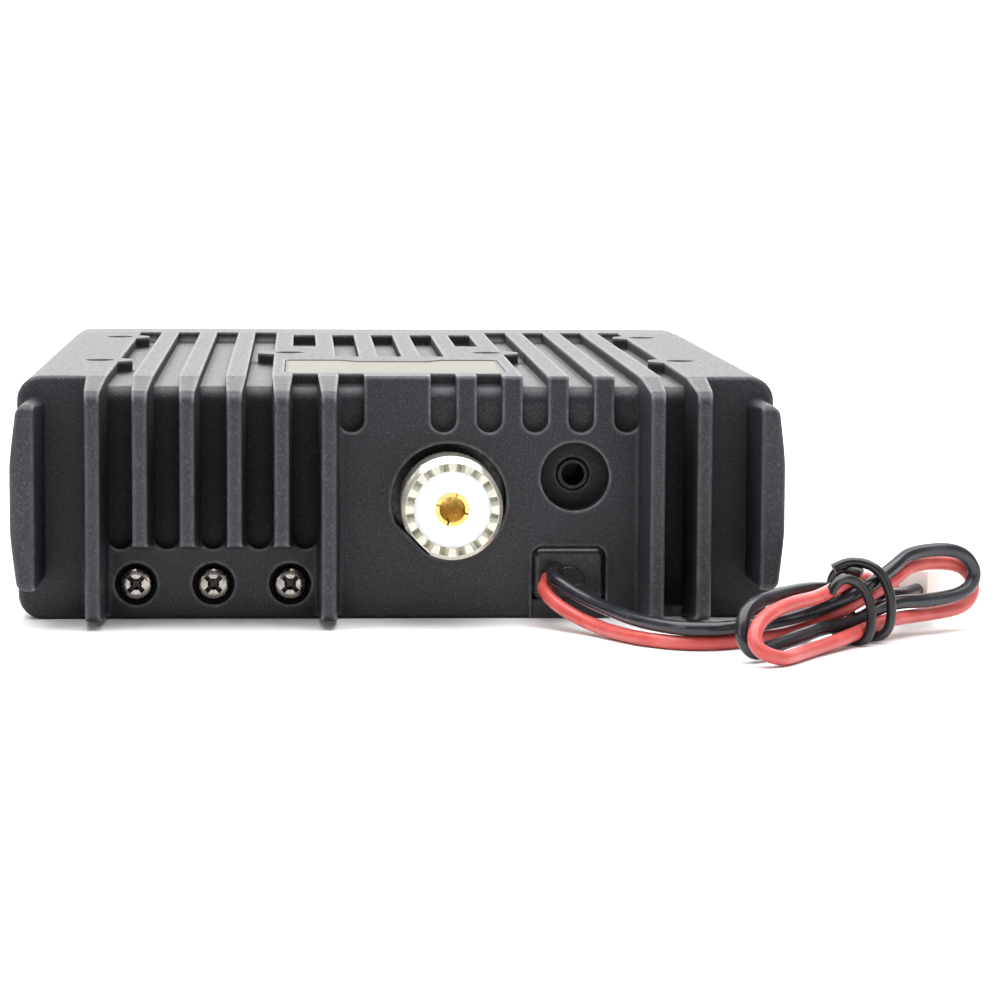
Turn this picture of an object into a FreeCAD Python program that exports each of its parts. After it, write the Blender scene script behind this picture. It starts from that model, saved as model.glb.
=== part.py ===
import FreeCAD, Part
import math
import os

V = FreeCAD.Vector
os.makedirs("parts", exist_ok=True)

# Mobile transceiver. Millimetres, +Z up. The connector panel faces -Y and the control panel faces +Y.
# The origin is under the middle of the set, on the table.

# ---- die-cast body
HALF_W = 60.7          # half width of the casting
HEIGHT = 39.2          # table to the top of the ribs
REAR = -70.0           # plane of the connector panel
CAST_FRONT = 52.0      # front edge of the casting
BODY_R = 4.0           # rounding of the four long edges
REAR_EDGE_R = 0.8      # rounding round the connector panel
WALL_REAR = 6.5        # thickness of the rear wall
INNER_X = 54.8         # half width of the inside
CEILING = 34.2         # underside of the top wall
COVER_T = 1.6          # thickness of the bottom cover

# ---- top ribs and grooves
PITCH = 7.39           # spacing of the grooves
GROOVE_W = 4.15
GROOVE_D = 1.9
GROOVE_END = 51.0      # front end of the long grooves
CHANNEL_D = 2.0        # the grooves run on down the rear wall this deep
SHOULDER_R = 2.6       # where a groove turns down the rear wall
CHANNEL_LOW = 11.3     # lower end of the channels between the tall fins
CHANNEL_HIGH = 30.1    # lower end of the short channels
NOTCH_LEN = 5.8        # short notches in the rear edge of the middle deck

# ---- rear fins and bumpers
FIN_OUT = 14.0         # how far the fins stand out
FIN_BASE_T = 3.2
FIN_TIP_T = 2.3
FIN_TOP_TIP = 37.5     # height of the fin's top at its outer end
PAD_TOP = 11.5         # the short fins stop above the screw pad
BUMPER_Z0, BUMPER_Z1 = 6.2, 35.6
BUMPER_IN, BUMPER_OUT = 56.4, 61.2

# ---- rear panel
PAD_SCREW_X = (-41.9, -29.5, -17.2)
PAD_SCREW_Z = 5.7
ANT_X, ANT_Z = 8.3, 19.1
ANT_HOLE_R = 9.3
ANT_R = 7.95           # 5/8 inch thread
ANT_OUT = 13.6
JACK_X, JACK_Z = 28.6, 23.0
JACK_RECESS_R, JACK_RECESS_D = 5.55, 5.2
JACK_R = 1.85
INLET_X, INLET_W, INLET_TOP = 27.7, 11.9, 11.7
TAB_TOP = 3.1          # the cover's tab closes the inlet below this

# ---- screws from above
TOP_SCREWS = ((-49.7, -31.5), (49.7, -31.5), (-49.7, 36.0), (49.7, 36.0), (-17.45, -10.3), (17.45, -10.3))
BOSS_R = 5.6
HEAD_HOLE_R = 2.5

# ---- inside
BOARD_Z0, BOARD_Z1 = 28.5, 30.1
COVER_SCREWS = ((-51.0, -57.0), (51.0, -57.0), (-51.0, 0.0), (51.0, 0.0), (-51.0, 46.0), (51.0, 46.0))
SPEAKER_Y = 16.0
BRACKET_Y = (-12.0, 14.0)
BRACKET_Z = 20.0
BRACKET_R = 2.0        # M4

# ---- control panel
GASKET_T = 0.8
BEZEL_BACK = CAST_FRONT + GASKET_T
BEZEL_FRONT = 71.0
BEZEL_HALF = 61.0
BEZEL_Z0, BEZEL_Z1 = 0.3, 38.9
BEZEL_WALL = 2.4
BEZEL_INNER = BEZEL_FRONT - 2.6
FRONT_BOARD_Y = 60.0
FRONT_BOARD_T = 1.6
WINDOW = (-28.0, 28.0, 12.6, 35.0)
VOLUME_X, VOLUME_Z = 44.0, 27.2
CHANNEL_X, CHANNEL_Z = -44.0, 20.5
MIC_X, MIC_Z = 44.0, 9.9
KEY_X0, KEY_STEP, KEY_Z = -25.0, 10.0, 7.0
KEY_W, KEY_H = 7.0, 4.2
KEY_GAP = 0.3
SHAFT_R = 3.0
KNOB_Y0 = 72.0

# ---- power cord
WIRE_R = 1.1


def box(x0, x1, y0, y1, z0, z1):
    return Part.makeBox(x1 - x0, y1 - y0, z1 - z0, V(x0, y0, z0))


def rod_y(x, z, r, y0, y1):
    return Part.makeCylinder(r, y1 - y0, V(x, y0, z), V(0, 1, 0))


def rod_z(x, y, r, z0, z1):
    return Part.makeCylinder(r, z1 - z0, V(x, y, z0), V(0, 0, 1))


def rod_x(y, z, r, x0, x1):
    return Part.makeCylinder(r, x1 - x0, V(x0, y, z), V(1, 0, 0))


def prism(points, direction):
    face = Part.Face(Part.makePolygon([V(*p) for p in points] + [V(*points[0])]))
    return face.extrude(V(*direction))


def fuse(shapes):
    whole = shapes[0]
    for shape in shapes[1:]:
        whole = whole.fuse(shape)
    return whole.removeSplitter()


def save(name, shape):
    if shape.ShapeType == "Compound" and len(shape.Solids) == 1:
        shape = shape.Solids[0]
    told = (name, len(shape.Solids), shape.Volume, shape.isValid())
    print("%-22s solids %2d  volume %.1f  valid %s" % told)
    shape.exportStep("parts/" + name + ".step")


def group(shapes):
    return Part.makeCompound([solid for shape in shapes for solid in shape.Solids])


def rounded_box(x0, x1, y0, y1, z0, z1, r, axis):
    """A box whose four edges along one axis are rounded."""
    solid = box(x0, x1, y0, y1, z0, z1)
    edges = [e for e in solid.Edges if abs(getattr(e.tangentAt(0), axis)) > 0.9]
    return solid.makeFillet(r, edges)


def arc_polygon(points, radii):
    """A closed wire through the corners, each rounded by its radius (0 keeps the corner)."""
    n = len(points)
    starts, ends, middles = [], [], []
    for i in range(n):
        here = V(*points[i])
        back = (V(*points[i - 1]) - here).normalize()
        on = (V(*points[(i + 1) % n]) - here).normalize()
        r = radii[i]
        if r == 0:
            starts.append(here)
            ends.append(here)
            middles.append(None)
            continue
        half = back.getAngle(on) / 2
        reach = r / math.tan(half)
        bisector = (back + on).normalize()
        centre = here + bisector * (r / math.sin(half))
        starts.append(here + back * reach)
        ends.append(here + on * reach)
        middles.append(centre - bisector * r)
    edges = []
    for i in range(n):
        if middles[i] is not None:
            edges.append(Part.Arc(starts[i], middles[i], ends[i]).toShape())
        a, b = ends[i], starts[(i + 1) % n]
        if a.distanceToPoint(b) > 1e-6:
            edges.append(Part.LineSegment(a, b).toShape())
    return Part.Wire(edges)


# =====================================================================================
# die-cast body
# =====================================================================================

def casting_block():
    block = rounded_box(-HALF_W, HALF_W, REAR, CAST_FRONT, 0, HEIGHT, BODY_R, "y")
    rear_edges = [e for e in block.Edges if all(abs(v.Point.y - REAR) < 1e-6 for v in e.Vertexes)]
    return block.makeFillet(REAR_EDGE_R, rear_edges)


def long_channel(x, y_end, z_low, end_r):
    """A groove from the deck over the shoulder and down the rear wall, with a round lower end."""
    floor = HEIGHT - GROOVE_D
    back = REAR + CHANNEL_D
    side = arc_polygon(
        [(x, REAR - 1, -2), (x, back, -2), (x, back, floor), (x, y_end, floor), (x, y_end, HEIGHT + 1),
         (x, REAR - 1, HEIGHT + 1)],
        [0, 0, SHOULDER_R, end_r, 0, 0],
    )
    run = Part.Face(side).extrude(V(GROOVE_W, 0, 0))
    run.translate(V(-GROOVE_W / 2, 0, 0))
    half = GROOVE_W / 2
    low = arc_polygon(
        [(x - half, REAR - 2, z_low), (x + half, REAR - 2, z_low), (x + half, REAR - 2, HEIGHT + 2),
         (x - half, REAR - 2, HEIGHT + 2)],
        [half * 0.98, half * 0.98, 0, 0],
    )
    strip = Part.Face(low).extrude(V(0, y_end - REAR + 4, 0))
    return run.common(strip)


def deck_pocket(x, y0, y1):
    half = GROOVE_W / 2
    return rounded_box(x - half, x + half, y0, y1, HEIGHT - GROOVE_D, HEIGHT + 1, 0.6, "z")


def deck_and_channels():
    """All the grooves of the deck, counted from the middle one outwards."""
    cuts = []
    for n in range(-6, 7):
        x = n * PITCH
        tall = n <= -2
        low = CHANNEL_LOW if tall else CHANNEL_HIGH
        if n == 6:
            low = -1.0
        if abs(n) >= 3:
            cuts.append(long_channel(x, GROOVE_END, low, 1.5))
        elif n != 0:
            cuts.append(long_channel(x, REAR + NOTCH_LEN, low, 0.3))
        if abs(n) == 2:
            cuts.append(deck_pocket(x, REAR + 77.7, REAR + 112.8))
        elif abs(n) < 2:
            cuts.append(deck_pocket(x, REAR + 48.7, REAR + 112.8))
    return cuts


def fin_plan(x):
    """Outline of a fin seen from above: filleted root, drafted flanks, softly rounded end."""
    root, tip = FIN_BASE_T / 2, FIN_TIP_T / 2
    out = REAR - FIN_OUT
    wire = arc_polygon(
        [(x - root - 1.0, REAR + 1.5, -1), (x - root - 1.0, REAR, -1), (x - root, REAR, -1),
         (x - tip, out, -1), (x + tip, out, -1),
         (x + root, REAR, -1), (x + root + 1.0, REAR, -1), (x + root + 1.0, REAR + 1.5, -1)],
        [0, 0, 0.8, 0.5, 0.5, 0.8, 0, 0],
    )
    return Part.Face(wire).extrude(V(0, 0, HEIGHT + 2))


def fin_side(full):
    """Outline of a fin seen from the side: falling top, round nose, chamfered foot."""
    out = REAR - FIN_OUT
    if full:
        points = [(REAR + 1.4, 0.6), (REAR, 0.6), (REAR - 9, 0.9), (out, 1.9),
                  (out, FIN_TOP_TIP), (REAR, HEIGHT), (REAR + 1.4, HEIGHT)]
        radii = [0, 0, 1.0, 1.2, 2.2, 0, 0]
    else:
        points = [(REAR + 1.4, PAD_TOP), (REAR, PAD_TOP), (out, PAD_TOP + 1.9),
                  (out, FIN_TOP_TIP), (REAR, HEIGHT), (REAR + 1.4, HEIGHT)]
        radii = [0, 0, 0.8, 2.2, 0, 0]
    wire = arc_polygon([(-80, y, z) for y, z in points], radii)
    return Part.Face(wire).extrude(V(160, 0, 0))


def fins():
    full, short = fin_side(True), fin_side(False)
    made = []
    for n in (-7, -6, -5, -4, -3, -2, 5, 6):
        side = full if n in (-7, -2, 5, 6) else short
        made.append(fin_plan((n + 0.5) * PITCH).common(side))
    return made


def bumper(sign):
    """One of the two end bumpers that guard the connector panel: bowed outwards, rounded at its
    corners and its tip, with a blend forward into the side of the casting."""
    out = REAR - FIN_OUT
    plan = arc_polygon(
        [(sign * BUMPER_IN, REAR + 4, BUMPER_Z0), (sign * BUMPER_IN, REAR, BUMPER_Z0),
         (sign * (BUMPER_IN + 0.6), out, BUMPER_Z0), (sign * (BUMPER_OUT - 0.3), out, BUMPER_Z0),
         (sign * BUMPER_OUT, REAR - 2, BUMPER_Z0), (sign * (HALF_W - 0.4), REAR + 16, BUMPER_Z0)],
        [0, 0, 0.6, 1.6, 9.0, 0],
    )
    solid = Part.Face(plan).extrude(V(0, 0, BUMPER_Z1 - BUMPER_Z0))
    middle = (BUMPER_Z0 + BUMPER_Z1) / 2
    half = (BUMPER_Z1 - BUMPER_Z0) / 2
    face = arc_polygon(
        [(sign * BUMPER_IN, out - 1, middle - half), (sign * (BUMPER_OUT - 1.5), out - 1, middle - half),
         (sign * (BUMPER_OUT + 0.4), out - 1, middle), (sign * (BUMPER_OUT - 1.5), out - 1, middle + half),
         (sign * BUMPER_IN, out - 1, middle + half)],
        [1.5, 1.8, 60.0, 1.8, 1.5],
    )
    side = arc_polygon(
        [(0, REAR + 30, BUMPER_Z0), (0, out, BUMPER_Z0), (0, out, BUMPER_Z1), (0, REAR + 30, BUMPER_Z1)],
        [0, 1.4, 1.4, 0],
    )
    solid = solid.common(Part.Face(face).extrude(V(0, 40, 0)))
    return solid.common(Part.Face(side).extrude(V(sign * 80, 0, 0)))


def label_outline(grow, z):
    """The label's field on the deck; its front edge steps back in the middle third."""
    x = 18.0 + grow
    y0, y1, y2 = REAR + 9.0 - grow, REAR + 40.0 + grow, REAR + 36.5 + grow
    return arc_polygon(
        [(-x, y0, z), (x, y0, z), (x, y1, z), (8.5, y1, z),
         (6.0, y2, z), (-6.0, y2, z), (-8.5, y1, z), (-x, y1, z)],
        [0.8, 0.8, 2.0, 0.6, 0.6, 0.6, 0.6, 2.0],
    )


def d_hole(r, flat, y0, y1):
    """A round hole or barrel with one flat at the lower left."""
    solid = rod_y(ANT_X, ANT_Z, r, y0, y1)
    keep = box(-r - 1, flat, y0 - 1, y1 + 1, -r - 1, r + 1)
    keep.rotate(V(0, 0, 0), V(0, 1, 0), 135)
    keep.translate(V(ANT_X, 0, ANT_Z))
    return solid.common(keep)


def inlet_notch():
    half = INLET_W / 2
    wire = arc_polygon(
        [(INLET_X - half, REAR - 1, -1), (INLET_X + half, REAR - 1, -1),
         (INLET_X + half, REAR - 1, INLET_TOP), (INLET_X - half, REAR - 1, INLET_TOP)],
        [0, 0, 1.6, 1.6],
    )
    return Part.Face(wire).extrude(V(0, WALL_REAR + 2, 0))


def cover_post(x, y):
    """A post for one screw of the bottom cover, joined to the side wall."""
    side = math.copysign(INNER_X + 0.5, x)
    web = box(min(x, side), max(x, side), y - 4.2, y + 4.2, COVER_T, CEILING + 0.5)
    return rod_z(x, y, 4.2, COVER_T, CEILING + 0.5).fuse(web)


def chassis():
    body = casting_block()
    for fin in fins():
        body = body.fuse(fin)
    for cut in deck_and_channels():
        body = body.cut(cut)
    body = body.fuse(bumper(1)).fuse(bumper(-1))
    for x, y in TOP_SCREWS:
        body = body.fuse(rod_z(x, y, BOSS_R, CEILING, HEIGHT))
    body = body.removeSplitter()
    inside = box(-INNER_X, INNER_X, REAR + WALL_REAR, CAST_FRONT + 1, -1, CEILING)
    body = body.cut(inside)
    posts = [cover_post(x, y) for x, y in COVER_SCREWS]
    side_bosses = []
    for y in BRACKET_Y:
        side_bosses.append(rod_x(y, BRACKET_Z, 5.0, INNER_X - 3.2, INNER_X + 0.5))
        side_bosses.append(rod_x(y, BRACKET_Z, 5.0, -INNER_X - 0.5, -INNER_X + 3.2))
    tongues = [
        box(INNER_X - 0.3, 58.3, CAST_FRONT - 3, 59.4, 8.5, 31.0),
        box(-58.3, -INNER_X + 0.3, CAST_FRONT - 3, 59.4, 8.5, 31.0),
    ]
    body = fuse([body] + posts + side_bosses + tongues)
    cuts = [box(-56.0, 56.0, REAR + 2.4, CAST_FRONT + 1, -1, COVER_T)]
    for x, y in TOP_SCREWS:
        cuts.append(rod_z(x, y, HEAD_HOLE_R, HEIGHT - 3.0, HEIGHT + 1))
        cuts.append(rod_z(x, y, 1.4, CEILING - 1, HEIGHT))
    for x, y in COVER_SCREWS:
        cuts.append(rod_z(x, y, 1.25, 0, 9.0))
    for y in BRACKET_Y:
        cuts.append(rod_x(y, BRACKET_Z, BRACKET_R, INNER_X - 4, HALF_W + 2))
        cuts.append(rod_x(y, BRACKET_Z, BRACKET_R, -HALF_W - 2, -INNER_X + 4))
    for x in PAD_SCREW_X:
        cuts.append(rod_y(x, PAD_SCREW_Z, 3.4, REAR - 1, REAR + 1.6))
        cuts.append(rod_y(x, PAD_SCREW_Z, 1.6, REAR - 1, REAR + WALL_REAR + 1))
    cuts.append(d_hole(ANT_HOLE_R, 8.6, REAR - 1, REAR + WALL_REAR + 1))
    for dx, dz in ((-8.6, 8.6), (8.6, -8.6)):
        cuts.append(rod_y(ANT_X + dx, ANT_Z + dz, 1.25, REAR + 2.2, REAR + WALL_REAR + 1))
    cuts.append(rod_y(JACK_X, JACK_Z, JACK_RECESS_R, REAR - 1, REAR + JACK_RECESS_D))
    cuts.append(rod_y(JACK_X, JACK_Z, 2.7, REAR, REAR + WALL_REAR + 1))
    cuts.append(inlet_notch())
    cuts.append(Part.Face(label_outline(0.15, HEIGHT - 0.5)).extrude(V(0, 0, 2)))
    for z in (13.0, 27.0):
        cuts.append(rod_x(57.0, z, 1.05, INNER_X - 2, 60))
        cuts.append(rod_x(57.0, z, 1.05, -60, -INNER_X + 2))
    for cut in cuts:
        body = body.cut(cut)
    return body.removeSplitter()


def bottom_cover():
    plate = rounded_box(-55.9, 55.9, REAR + 2.6, 51.5, 0, COVER_T, 2.0, "z")
    tongue = box(INLET_X - 5.8, INLET_X + 5.8, REAR + 0.3, REAR + 4, 0, 1.2)
    tab = box(INLET_X - 5.8, INLET_X + 5.8, REAR + 0.3, REAR + 1.5, 0, TAB_TOP - 0.05)
    cover = fuse([plate, tongue, tab])
    for x, y in COVER_SCREWS:
        cover = cover.cut(rod_z(x, y, 1.5, -1, 3))
        cover = cover.cut(Part.makeCone(2.85, 1.5, 1.35, V(x, y, 0), V(0, 0, 1)))
    for row in range(-3, 4):
        half = math.sqrt(16.0 ** 2 - (row * 4.4) ** 2)
        y = SPEAKER_Y + row * 4.4
        cover = cover.cut(rounded_box(-half, half, y - 0.9, y + 0.9, -1, 3, 0.85, "z"))
    return cover


def cross_cut(r, depth):
    """A cross recess in the plane z = 0, opening towards -z, turned by 45 degrees."""
    a = box(-r, r, -r * 0.23, r * 0.23, -1, depth)
    b = box(-r * 0.23, r * 0.23, -r, r, -1, depth)
    middle = Part.makeCone(r * 0.55, r * 0.2, depth, V(0, 0, 0), V(0, 0, 1))
    cross = a.fuse(b).fuse(middle)
    cross.rotate(V(0, 0, 0), V(0, 0, 1), 45)
    return cross


def pan_screw(head_r, head_h, shank_r, length, domed=True):
    """A screw with the face of its head on z = 0 and its shank towards +z."""
    head = Part.makeCylinder(head_r, head_h)
    if domed:
        rim = [e for e in head.Edges if abs(e.BoundBox.ZMax) < 1e-6 and abs(e.BoundBox.ZMin) < 1e-6]
        head = head.makeFillet(min(head_h * 0.7, 1.2), rim)
    screw = head.cut(cross_cut(head_r * 0.62, head_h * 0.72))
    return screw.fuse(Part.makeCylinder(shank_r, length, V(0, 0, head_h))).removeSplitter()


def flat_screw(head_r, shank_r, cone_h, length):
    screw = Part.makeCone(head_r, shank_r, cone_h)
    screw = screw.cut(cross_cut(head_r * 0.55, cone_h * 0.6))
    return screw.fuse(Part.makeCylinder(shank_r, length, V(0, 0, cone_h))).removeSplitter()


def placed(shape, x, y, z, axis, turn):
    copy = shape.copy()
    if turn:
        copy.rotate(V(0, 0, 0), V(*axis), turn)
    copy.translate(V(x, y, z))
    return copy


def bottom_cover_screws():
    screw = flat_screw(2.8, 1.24, 1.3, 6.5)
    return group([placed(screw, x, y, 0.05, (1, 0, 0), 0) for x, y in COVER_SCREWS])


def top_screws():
    screw = pan_screw(2.2, 1.5, 1.3, 5.8)
    return group([placed(screw, x, y, HEIGHT - 1.5, (1, 0, 0), 180) for x, y in TOP_SCREWS])


def rear_screws():
    screw = pan_screw(2.75, 1.9, 1.5, 9.4)
    return group([placed(screw, x, REAR - 0.3, PAD_SCREW_Z, (1, 0, 0), -90) for x in PAD_SCREW_X])


def label_plate():
    return Part.Face(label_outline(0.0, HEIGHT - 0.5)).extrude(V(0, 0, 0.35))


# =====================================================================================
# rear connectors
# =====================================================================================

def antenna_profile():
    """Half section of the threaded barrel: radius against distance along the axis."""
    points = [(6.05, -ANT_OUT), (7.4, -ANT_OUT), (ANT_R, -ANT_OUT + 0.55)]
    y = -ANT_OUT + 1.1
    while y < -7.4:
        points += [(ANT_R, y), (ANT_R - 0.5, y + 0.4), (ANT_R - 0.5, y + 0.5), (ANT_R, y + 0.9)]
        y += 1.058
    points += [(ANT_R, 0.0), (7.7, 0.0), (7.7, WALL_REAR), (6.05, WALL_REAR)]
    return [(ANT_X + r, REAR + y, ANT_Z) for r, y in points]


def antenna_shell():
    section = Part.Face(Part.makePolygon([V(*p) for p in antenna_profile()] + [V(*antenna_profile()[0])]))
    barrel = section.revolve(V(ANT_X, 0, ANT_Z), V(0, 1, 0), 360)
    keep = box(-12, 7.45, REAR - 20, REAR + 20, -12, 12)
    keep.rotate(V(0, 0, 0), V(0, 1, 0), 135)
    keep.translate(V(ANT_X, 0, ANT_Z))
    barrel = barrel.common(keep)
    notch = prism([(5.8, -0.75, 0), (5.8, 0.75, 0), (5.8, 0, 1.1)], (1.5, 0, 0))
    for i in range(16):
        cut = notch.copy()
        cut.rotate(V(0, 0, 0), V(1, 0, 0), -90)
        cut.rotate(V(0, 0, 0), V(0, 1, 0), 22.5 * i + 11.25)
        cut.translate(V(ANT_X, REAR - ANT_OUT - 0.02, ANT_Z))
        barrel = barrel.cut(cut)
    y = REAR + WALL_REAR
    flange = rounded_box(ANT_X - 11, ANT_X + 11, y, y + 2.0, ANT_Z - 11, ANT_Z + 11, 2.5, "y")
    flange = flange.cut(rod_y(ANT_X, ANT_Z, 6.05, y - 1, y + 3))
    for dx, dz in ((-8.6, 8.6), (8.6, -8.6)):
        flange = flange.cut(rod_y(ANT_X + dx, ANT_Z + dz, 1.5, y - 1, y + 3))
    return barrel.fuse(flange).removeSplitter()


def antenna_screws():
    screw = pan_screw(2.4, 1.6, 1.24, 6.0)
    y = REAR + WALL_REAR + 2.0 + 1.6
    corners = ((-8.6, 8.6), (8.6, -8.6))
    return group([placed(screw, ANT_X + dx, y, ANT_Z + dz, (1, 0, 0), 90) for dx, dz in corners])


def antenna_insulator():
    body = rod_y(ANT_X, ANT_Z, 6.05, REAR - ANT_OUT + 0.9, REAR + WALL_REAR + 2.0)
    back = rod_y(ANT_X, ANT_Z, 4.5, REAR + WALL_REAR + 2.0, REAR + WALL_REAR + 3.2)
    return fuse([body, back]).cut(rod_y(ANT_X, ANT_Z, 2.63, REAR - 20, REAR + 20))


def antenna_contact():
    y0 = REAR - ANT_OUT + 0.7
    tube = rod_y(ANT_X, ANT_Z, 2.63, y0, REAR + WALL_REAR + 3.2)
    tube = tube.cut(rod_y(ANT_X, ANT_Z, 2.04, y0 - 1, y0 + 15))
    for i in range(2):
        slot = box(-3, 3, y0 - 1, y0 + 7, -0.14, 0.14)
        slot.rotate(V(0, 0, 0), V(0, 1, 0), 90 * i + 17)
        slot.translate(V(ANT_X, 0, ANT_Z))
        tube = tube.cut(slot)
    tail = rod_y(ANT_X, ANT_Z, 1.2, REAR + WALL_REAR + 3.2, REAR + WALL_REAR + 6.2)
    return tube.fuse(tail).removeSplitter()


def antenna_lead():
    """The strap from the contact's tail up to the board."""
    y = REAR + WALL_REAR + 4.4
    ring = rod_y(ANT_X, ANT_Z, 2.2, y, y + 0.8).cut(rod_y(ANT_X, ANT_Z, 1.2, y - 1, y + 2))
    strap = box(ANT_X - 1.4, ANT_X + 1.4, y, y + 0.8, ANT_Z + 1.6, BOARD_Z0)
    return ring.fuse(strap).removeSplitter()


def jack_body():
    y0 = REAR + WALL_REAR
    body = box(JACK_X - 5, JACK_X + 5, y0, y0 + 13.5, JACK_Z - 5.5, BOARD_Z0)
    neck = rod_y(JACK_X, JACK_Z, 2.7, y0 - 0.9, y0)
    body = body.fuse(neck).removeSplitter()
    return body.cut(rod_y(JACK_X, JACK_Z, JACK_R, y0 - 2, y0 + 12.5))


def jack_bushing():
    y0 = REAR + WALL_REAR - 0.9
    ring = rod_y(JACK_X, JACK_Z, 2.65, y0 - 1.0, y0).cut(rod_y(JACK_X, JACK_Z, JACK_R, y0 - 2, y0 + 1))
    face_edges = [e for e in ring.Edges if abs(e.BoundBox.YMax - (y0 - 1.0)) < 1e-6]
    rim = [e for e in face_edges if e.BoundBox.XMax > JACK_X + 2]
    return ring.makeFillet(0.35, rim)


def jack_contacts():
    y0 = REAR + WALL_REAR
    strips = []
    for i, dy in enumerate((3.0, 7.0, 11.0)):
        side = JACK_X + 5.0 if i % 2 else JACK_X - 5.4
        strips.append(box(side, side + 0.4, y0 + dy - 0.9, y0 + dy + 0.9, JACK_Z - 3, BOARD_Z0))
    return group(strips)


def cable_grommet():
    """The rubber block in the inlet, held by a lip inside the wall, with an oval boss beside the wires."""
    y_in = REAR + WALL_REAR
    y_out = REAR - 1.3
    block = rounded_box(INLET_X - 5.85, INLET_X + 5.85, y_out, y_in, TAB_TOP, INLET_TOP - 0.1, 1.5, "y")
    front = [e for e in block.Edges if all(abs(v.Point.y - y_out) < 1e-6 for v in e.Vertexes)]
    block = block.makeFillet(1.0, front)
    lip = rounded_box(INLET_X - 7.4, INLET_X + 7.4, y_in, y_in + 1.4, TAB_TOP, INLET_TOP + 1.6, 1.5, "y")
    boss = rod_y(0, 0, 1.45, REAR - 1.8, REAR)
    stretch = FreeCAD.Matrix()
    stretch.scale(1.45, 1.0, 1.0)
    boss = boss.transformGeometry(stretch)
    boss.rotate(V(0, 0, 0), V(0, 1, 0), 28)
    boss.translate(V(28.1, 0, 7.0))
    grommet = fuse([block, lip, boss])
    for x, z in ((BLACK_ROUTE[0][0], BLACK_ROUTE[0][2]), (RED_ROUTE[0][0], RED_ROUTE[0][2])):
        grommet = grommet.cut(rod_y(x, z, WIRE_R, REAR - 6, REAR + 1))
    return grommet


def dc_leads():
    """The ends of the two conductors inside the set, from the grommet to the board's posts."""
    y0 = REAR + WALL_REAR + 1.4
    leads = []
    for x, z in ((BLACK_ROUTE[0][0], BLACK_ROUTE[0][2]), (RED_ROUTE[0][0], RED_ROUTE[0][2])):
        leads.append(rod_y(x, z, 1.0, y0, y0 + 14.6))
    return group(leads)


def dc_posts():
    y0 = REAR + WALL_REAR + 16.0
    posts = []
    for x, z in ((BLACK_ROUTE[0][0], BLACK_ROUTE[0][2]), (RED_ROUTE[0][0], RED_ROUTE[0][2])):
        posts.append(box(x - 0.6, x + 0.6, y0, y0 + 0.8, z - 1.5, BOARD_Z0))
    return group(posts)


# =====================================================================================
# power cord: two insulated wires, folded into a small hank
# =====================================================================================

RED_ROUTE = [
    (24.1, -69.0, 6.6),
    (24.1, -74.0, 6.6),
    (22.8, -78.5, 6.0),
    (24.9, -83.0, 3.8),
    (30.3, -89.5, 1.4),
    (36.6, -101.5, 1.15),
    (44.6, -106.8, 1.15),
    (53.4, -102.3, 1.15),
    (62.0, -96.8, 1.7),
    (70.2, -96.7, 6.1),
    (76.0, -94.2, 8.9),
    (80.5, -87.8, 11.1),
    (88.5, -83.2, 10.7),
    (91.9, -80.8, 7.5),
    (90.6, -82.2, 3.4),
    (83.2, -87.0, 2.9),
    (76.2, -94.6, 3.3),
    (71.6, -99.0, 2.4),
    (66.4, -105.8, 1.6),
    (60.6, -113.4, 1.15),
    (57.6, -118.6, 1.15),
    (54.8, -122.6, 1.2),
    (50.8, -123.0, 3.0),
    (51.8, -119.6, 6.4),
    (56.9, -113.0, 8.1),
    (63.4, -104.8, 8.0),
    (69.5, -96.5, 9.9),
    (73.8, -91.0, 9.2),
    (75.6, -85.8, 5.9),
    (79.0, -80.2, 5.9),
]
BLACK_ROUTE = [
    (25.7, -69.0, 8.2),
    (25.7, -74.0, 8.2),
    (24.0, -79.0, 8.0),
    (27.8, -84.0, 5.8),
    (31.3, -89.0, 4.6),
    (36.7, -100.0, 3.5),
    (44.4, -107.6, 3.35),
    (53.4, -102.8, 3.45),
    (62.0, -97.6, 4.2),
    (71.1, -98.5, 8.2),
    (76.2, -94.7, 11.3),
    (79.8, -89.5, 13.2),
    (88.3, -86.0, 13.3),
    (91.6, -84.0, 9.3),
    (89.7, -85.5, 6.1),
    (82.8, -89.0, 5.3),
    (75.8, -94.0, 5.8),
    (69.5, -97.3, 2.9),
    (64.5, -102.6, 3.1),
    (59.6, -110.0, 2.7),
    (54.3, -115.4, 1.9),
    (51.6, -118.0, 1.2),
    (49.7, -118.3, 3.6),
    (50.1, -116.5, 6.7),
    (52.0, -113.6, 8.4),
    (56.5, -108.0, 8.9),
    (62.0, -101.0, 9.0),
    (68.8, -95.0, 7.9),
    (74.3, -91.7, 6.4),
    (79.3, -87.1, 6.1),
    (82.3, -82.2, 6.1),
]


def route_wire(points):
    """Straight runs joined by tangent arcs, each as large as the shorter run beside it allows."""
    pts = [V(*p) for p in points]
    edges = []
    at = pts[0]
    smallest = 1e9
    for i in range(1, len(pts) - 1):
        back, on = pts[i - 1] - pts[i], pts[i + 1] - pts[i]
        turn = math.pi - back.getAngle(on)
        shorter = min(back.Length, on.Length)
        r = 0.45 * shorter / math.tan(turn / 2)
        smallest = min(smallest, r)
        reach = 0.45 * shorter
        back.normalize()
        on.normalize()
        start, end = pts[i] + back * reach, pts[i] + on * reach
        bisector = (back + on).normalize()
        centre = pts[i] + bisector * (r / math.cos(turn / 2))
        edges.append(Part.LineSegment(at, start).toShape())
        edges.append(Part.Arc(start, centre - bisector * r, end).toShape())
        at = end
    edges.append(Part.LineSegment(at, pts[-1]).toShape())
    print("route length %.1f, smallest radius %.2f" % (sum(e.Length for e in edges), smallest))
    return Part.Wire(edges)


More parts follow.
